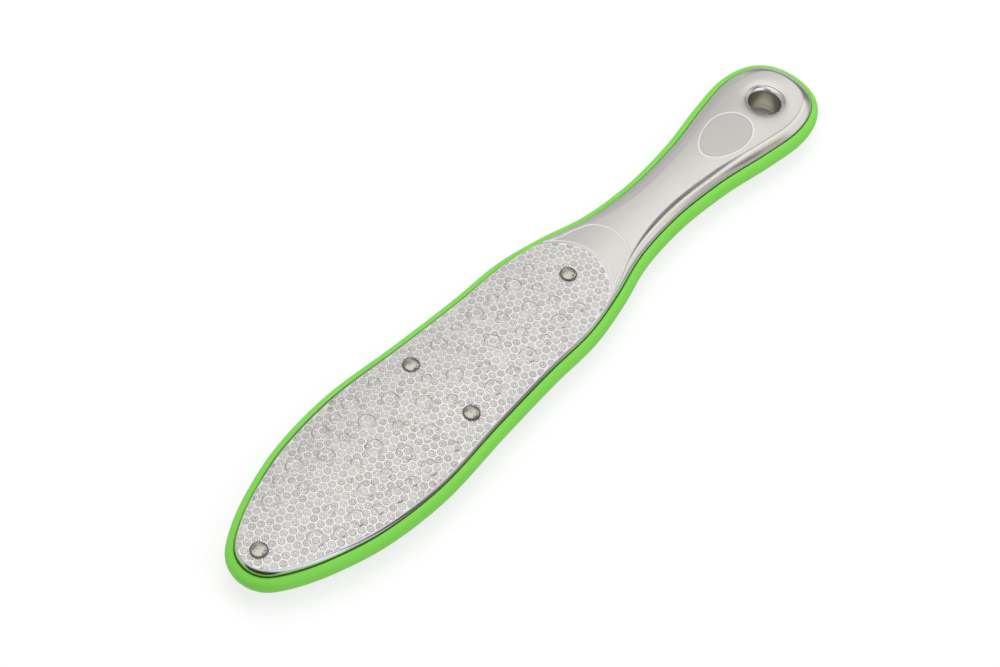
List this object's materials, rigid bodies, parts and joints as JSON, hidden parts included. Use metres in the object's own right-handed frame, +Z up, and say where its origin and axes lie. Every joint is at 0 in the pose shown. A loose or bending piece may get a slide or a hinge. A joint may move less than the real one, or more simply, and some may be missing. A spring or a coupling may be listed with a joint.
{
  "type": "foot file",
  "caption": "Two-sided foot file: waisted paddle of a bright moulded core between crowned steel shells, riveted abrasive plates, and an eyelet to hang it by.",
  "frame": {"origin": "under the middle of the file's box, on the surface that it lies on", "axes": "+X along the file from the tip to the handle's end, +Y across it, +Z up through its thickness, out of the coarse face"},
  "size_m": [0.261, 0.049, 0.014],
  "materials": {
    "core_plastic": "moulded lime plastic, satin",
    "shell_steel": "satin stainless sheet with polished edges",
    "plate_coarse": "nickel sheet with round abrasive islands, coarse",
    "plate_fine": "nickel sheet with round abrasive islands, fine",
    "rivet_metal": "nickel-plated, polished dome over a toothed rim",
    "eyelet_metal": "polished, with a rolled edge"
  },
  "bodies": {
    "root": {"core_frame": "core_plastic", "front_shell": "shell_steel", "rear_shell": "shell_steel", "coarse_plate": "plate_coarse", "fine_plate": "plate_fine", "tip_rivet_stud": "rivet_metal", "tip_rivet_barrel": "rivet_metal", "left_rivet_stud": "rivet_metal", "left_rivet_barrel": "rivet_metal", "right_rivet_stud": "rivet_metal", "right_rivet_barrel": "rivet_metal", "neck_rivet_stud": "rivet_metal", "neck_rivet_barrel": "rivet_metal", "hang_eyelet": "eyelet_metal", "eyelet_ring": "eyelet_metal"}
  },
  "joints": []
}
